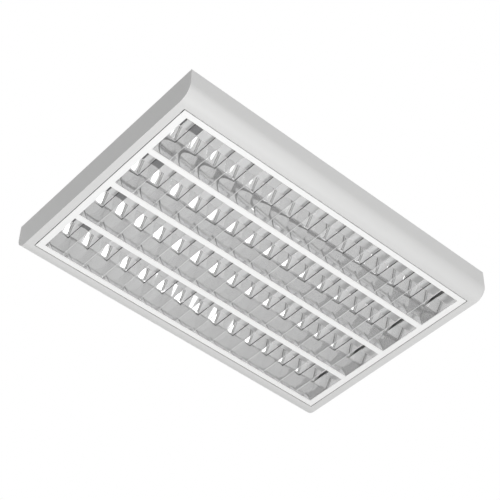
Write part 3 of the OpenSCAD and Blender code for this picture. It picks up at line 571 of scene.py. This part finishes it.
@dataclass
class Louvre:
    """Mirror channels, divider folds and cross blades that swing with the louvre frame."""

    shop: Paintshop
    channels: int = 4
    blades: int = 14
    blade_pitch: float = 40.3 * MM
    blade_lift: float = 2 * MM
    fold_w: float = 1.2 * MM
    fold_steps: int = 5
    blade_top_w: float = 4 * MM
    blade_bow: float = 1.6
    blade_fit: float = 0.1 * MM
    sheet_t: float = 0.4 * MM
    hem_r: float = 0.5 * MM
    hem_h: float = 2.0 * MM
    hem_rise: float = 0.4 * MM
    hem_sides: int = 10
    web_t: float = 0.15 * MM
    end_rise: float = 4.1 * MM
    end_lean: float = 0.3 * MM
    steps: int = 28
    sharp: float = math.radians(40)

    def __post_init__(self) -> None:
        """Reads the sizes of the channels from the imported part."""
        low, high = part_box("front_reflector")
        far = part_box("back_reflector")[1]
        fold_low, fold_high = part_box("divider_reflector_2")
        self.reach_x = high.x
        self.low_z, self.high_z = low.z, high.z
        self.strip_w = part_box("cross_blades_row_2")[0].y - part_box("cross_blades_row_1")[1].y
        self.lean = (fold_high.y - fold_low.y - self.strip_w) / 2
        self.channel_w = (far.y - low.y - (self.channels - 1) * self.strip_w) / self.channels
        self.web_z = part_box("divider_strips")[1].z

    def shape(self, row: int) -> ChannelShape:
        """Section of a channel.

        Args:
            row: the channel, counted from 1 at the -Y side.

        Returns:
            Its section.
        """
        low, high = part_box(f"cross_blades_row_{row}")
        half = self.channel_w / 2
        return ChannelShape((low.y + high.y) / 2, half, half - self.lean, self.low_z, self.high_z)

    def _mount(self, piece: bpy.types.Object, *nodes: str) -> None:
        """Lets a piece swing with the louvre, in place of CAD nodes if any are named.

        Args:
            piece: the new piece.
            nodes: the CAD nodes that it stands for.
        """
        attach(piece, Body.LOUVRE.value)
        if nodes:
            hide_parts(*nodes)
        LOG.info("%s stands for %s", piece.name, ", ".join(nodes) or "trim")

    def _bar(self, name: str, section: Sequence[Point2]) -> bpy.types.Object:
        """A mirror piece as long as the opening.

        Args:
            name: the piece's name.
            section: its closed section in Y and Z.

        Returns:
            The piece.
        """
        maker = bmesh.new()
        rows = [[Vector((x, y, z)) for x in (-self.reach_x, self.reach_x)] for y, z in section]
        add_prism(maker, rows, self.sharp)
        return link_mesh(name, maker, self.shop.material(Slot.MIRROR.value))

    def add_outer_reflectors(self) -> None:
        """Long walls beside the two long rails."""
        for row, side, node in ((1, -1, "front_reflector"), (self.channels, 1, "back_reflector")):
            line = self.shape(row).wall(side, self.steps)
            section = thick_line(line, -side * self.sheet_t)
            self._mount(self._bar(node.replace("reflector", "mirror_wall"), section), node)

    def add_divider_reflectors(self) -> None:
        """Folded mirror over each divider strip, with a wall for both channels and a web."""
        for i in range(1, self.channels):
            left = self.shape(i).wall(1, self.steps)[::-1]
            right = self.shape(i + 1).wall(-1, self.steps)
            t = self.sheet_t
            feet = (left[-1][0] + t, right[0][0] - t)
            low, web = self.low_z, self.web_z
            under = [(feet[0], low), (feet[0], web), (feet[1], web), (feet[1], low)]
            inside = [(y - t, z) for y, z in right[:0:-1]] + [(feet[1], web + t)]
            inside += [(feet[0], web + t)] + [(y + t, z) for y, z in left[-2::-1]]
            piece = self._bar(f"divider_mirror_{i}", left + under + right + inside)
            self._mount(piece, f"divider_reflector_{i}")

    def add_end_reflectors(self) -> None:
        """End mirrors, drawn a little higher than the part's so that no gap shows over them."""
        for node, side in (("end_reflector_left", -1), ("end_reflector_right", 1)):
            source = frame["nodes"][node]
            maker = bmesh.new()
            maker.from_mesh(source.data)
            bmesh.ops.transform(maker, matrix=source.matrix_world, verts=maker.verts)
            bmesh.ops.remove_doubles(maker, verts=maker.verts, dist=WELD)
            for vert in maker.verts:
                if vert.co.z > self.high_z - self.end_lean:
                    vert.co += Vector((side * self.end_lean, 0, self.end_rise))
            name = node.replace("reflector", "mirror")
            self._mount(link_mesh(name, maker, self.shop.material(Slot.MIRROR.value)), node)

    def blade_face(self) -> list[Point2]:
        """One side of a blade, from the fold at the bottom to the rolled edge.

        Returns:
            Points in X and Z.
        """
        low, high = self.low_z + self.blade_lift, self.high_z - self.hem_rise
        radius, half = self.fold_w / 2, self.blade_top_w / 2 - self.hem_r
        arc = [math.pi / 2 * i / self.fold_steps for i in range(self.fold_steps + 1)]
        line = [(radius * math.sin(a), low + radius * (1 - math.cos(a))) for a in arc]
        for i in range(1, self.steps + 1):
            z = low + radius + (high - low - radius) * i / self.steps
            share = (z - low) / (high - low)
            line.append((radius + (half - radius) * share**self.blade_bow, z))
        return line

    def _blade_rows(
        self, shape: ChannelShape, centre: float, section: Sequence[Point2]
    ) -> list[list[Vector]]:
        """Draws a section from wall to wall of a channel.

        Args:
            shape: the channel.
            centre: the blade's place along X.
            section: points in X and Z.

        Returns:
            For each point, its two ends.
        """
        rows = []
        for x, z in section:
            reach = shape.half(z) - self.blade_fit
            rows.append([Vector((centre + x, shape.centre + end * reach, z)) for end in (-1, 1)])
        return rows

    def add_blades(self, row: int) -> None:
        """All cross blades of a channel: bowed sides, rolled edges painted near black as their dark
        reflection, and a light web between them.

        Args:
            row: the channel, counted from 1 at the -Y side.
        """
        shape = self.shape(row)
        face = self.blade_face()
        closed = face[1:] + [(-x, z) for x, z in face[::-1]]
        edge_x, reach = self.blade_top_w / 2 - self.hem_r, self.hem_h / 2
        middle, under = self.high_z - reach, self.high_z - self.hem_rise
        turn = [math.tau * i / self.hem_sides for i in range(self.hem_sides)]
        hem = [(self.hem_r * math.cos(a), middle + reach * math.sin(a)) for a in turn]
        web_x = edge_x - self.hem_r
        top = under + self.web_t
        web = [(-web_x, under), (web_x, under), (web_x, top), (-web_x, top)]
        blades, hems, webs = bmesh.new(), bmesh.new(), bmesh.new()
        for i in range(self.blades):
            centre = (i - (self.blades - 1) / 2) * self.blade_pitch
            add_prism(blades, self._blade_rows(shape, centre, closed), self.sharp)
            add_prism(webs, self._blade_rows(shape, centre, web), self.sharp)
            for x in (-edge_x, edge_x):
                add_prism(hems, self._blade_rows(shape, centre + x, hem), self.sharp)
        for name, maker, slot, nodes in (
            ("blade", blades, Slot.MIRROR, (f"cross_blades_row_{row}",)),
            # The rolled edges take the near-black finish, a painted dark reflection.
            ("blade_edges", hems, Slot.EDGE, ()),
            ("blade_webs", webs, Slot.WHITE, ()),
        ):
            piece = link_mesh(f"{name}_row_{row}", maker, self.shop.material(slot.value))
            self._mount(piece, *nodes)

    def build(self) -> None:
        """Makes every mirror piece of the louvre."""
        self.add_outer_reflectors()
        self.add_divider_reflectors()
        self.add_end_reflectors()
        for row in range(1, self.channels + 1):
            self.add_blades(row)


@dataclass
class PressedEdges:
    """Small rounding on the edges of pressed and folded sheet parts."""

    radius: float = 0.3 * MM
    segments: int = 2
    bend: float = math.radians(50)
    nodes: tuple[str, ...] = (
        "front_rail", "back_rail", "end_rail_left", "end_rail_right", "divider_strips",
    )

    def apply(self) -> None:
        """Adds a weld and a bevel to each of the nodes."""
        for name in self.nodes:
            node = frame["nodes"][name]
            weld = node.modifiers.new("weld", "WELD")
            weld.merge_threshold = WELD
            bevel = node.modifiers.new("bevel", "BEVEL")
            bevel.width = self.radius
            bevel.segments = self.segments
            bevel.limit_method = "ANGLE"
            bevel.angle_limit = self.bend
            LOG.info("rounded the edges of %s", name)


# Studio


@dataclass(frozen=True)
class PhotoCamera:
    """Camera placed as the photographer's was, below the light and looking up at it."""

    place: Colour = (-1.09015, -1.26095, -1.66873)
    right: Colour = (0.749226, -0.662124, 0.015897)
    up: Colour = (-0.476961, -0.52274, 0.706577)
    back: Colour = (-0.459531, -0.536968, -0.707457)
    focal_px: float = 1391.667
    frame_px: float = 500.0
    sensor_mm: float = 36.0
    clip: Point2 = (0.05, 50.0)

    def add(self) -> None:
        """Adds the camera and makes it the scene's."""
        data = bpy.data.cameras.new("photo_camera")
        data.sensor_width = self.sensor_mm
        data.lens = self.focal_px / self.frame_px * self.sensor_mm
        data.clip_start, data.clip_end = self.clip
        camera = bpy.data.objects.new("photo_camera", data)
        bpy.context.scene.collection.objects.link(camera)
        axes = Matrix([Vector(self.right), Vector(self.up), Vector(self.back)]).transposed()
        camera.matrix_world = Matrix.Translation(self.place) @ axes.to_4x4()
        bpy.context.scene.camera = camera
        LOG.info("camera %.2f m from the light", Vector(self.place).length)


@dataclass(frozen=True)
class SoftBox:
    """A square area lamp that faces a target."""

    name: str
    place: Colour
    size: float
    power: float
    target: Colour = (0.0, 0.0, -0.03)

    def add(self) -> None:
        """Adds the lamp."""
        data = bpy.data.lights.new(self.name, "AREA")
        data.shape = "SQUARE"
        data.size = self.size
        data.energy = self.power
        lamp = bpy.data.objects.new(self.name, data)
        bpy.context.scene.collection.objects.link(lamp)
        lamp.location = self.place
        look = Vector(self.target) - Vector(self.place)
        lamp.rotation_mode = "QUATERNION"
        lamp.rotation_quaternion = look.to_track_quat("-Z", "Y")
        LOG.info("%s, %.2f W", self.name, self.power)


@dataclass
class Studio:
    """Pale floor below the light, soft surroundings and lamps."""

    floor_z: float = -2.5
    floor_reach: float = 14.0
    # Brightness of the surroundings level with the light and from full_height upwards.
    level: float = 0.24
    above: float = 0.7
    full_height: float = 0.7
    # How much brighter they are towards +X, and darker towards -X.
    lean: float = 0.4
    lamps: tuple[SoftBox, ...] = (
        SoftBox("key_box", (-0.55, -0.9, -2.15), 0.35, 23.0),
        SoftBox("glint_box_0", (-1.15, -1.12, -2.35), 0.045, 0.03),
        SoftBox("glint_box_1", (-1.16, -0.9, -2.35), 0.14, 0.25),
        SoftBox("glint_box_2", (-1.09, -0.7, -2.35), 0.14, 0.25),
        SoftBox("glint_box_3", (-1.01, -0.49, -2.35), 0.13, 0.21),
        SoftBox("glint_box_4", (1.12, -0.5, -2.35), 0.1, 0.08),
        SoftBox("side_box", (0.3, -3.0, -0.3), 1.6, 13.5),
        SoftBox("floor_box", (-0.3, 3.2, 1.5), 2.0, 30.0, (-0.3, 1.0, -2.5)),
    )
    paint: Finish = Finish(
        "studio_floor", (0.8, 0.8, 0.8), 0.7, mottle=0.01, mottle_size=0.8, grain_size=0.02,
    )

    def add_floor(self) -> None:
        """A pale floor that isn't part of the light."""
        maker = bmesh.new()
        bmesh.ops.create_grid(maker, x_segments=8, y_segments=8, size=self.floor_reach)
        floor = link_mesh("studio_floor", maker, self.paint.build())
        floor.location.z = self.floor_z

    def add_world(self) -> None:
        """White for the camera and for reflections, and a soft gradient as light."""
        world = bpy.data.worlds.new("studio")
        bpy.context.scene.world = world
        world.use_nodes = True
        graph = Graph(world.node_tree)
        background = world.node_tree.nodes["Background"]
        direction = Signal(graph, graph.node("ShaderNodeTexCoord", {}).outputs["Generated"])
        split = graph.node("ShaderNodeSeparateXYZ", {0: direction})
        height, sideways = (Signal(graph, split.outputs[axis]) for axis in ("Z", "X"))
        level, above = (self.level,) * 3, (self.above,) * 3
        shade = graph.ramp(height, 0.0, self.full_height).blend(level, above)
        shade = shade * (1.0 + sideways * self.lean)
        path = graph.node("ShaderNodeLightPath", {})
        seen = 1.0
        for ray in ("Is Camera Ray", "Is Glossy Ray", "Is Transmission Ray"):
            seen = seen * (1.0 - Signal(graph, path.outputs[ray]))
        graph.feed(background.inputs["Color"], (1.0 - seen).blend(shade, (1.0, 1.0, 1.0)))
        background.inputs["Strength"].default_value = 1.0

    def build(self) -> None:
        """Adds floor, world, lamps and camera."""
        self.add_floor()
        self.add_world()
        for lamp in self.lamps:
            lamp.add()
        PhotoCamera().add()
        bpy.context.scene.view_settings.view_transform = "Standard"


def main() -> None:
    """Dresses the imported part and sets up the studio."""
    logging.basicConfig(level=logging.INFO, format="%(name)s: %(message)s")
    shop = Paintshop()
    shop.paint_nodes()
    Louvre(shop).build()
    PressedEdges().apply()
    Studio().build()


if __name__ == "__main__":
    main()
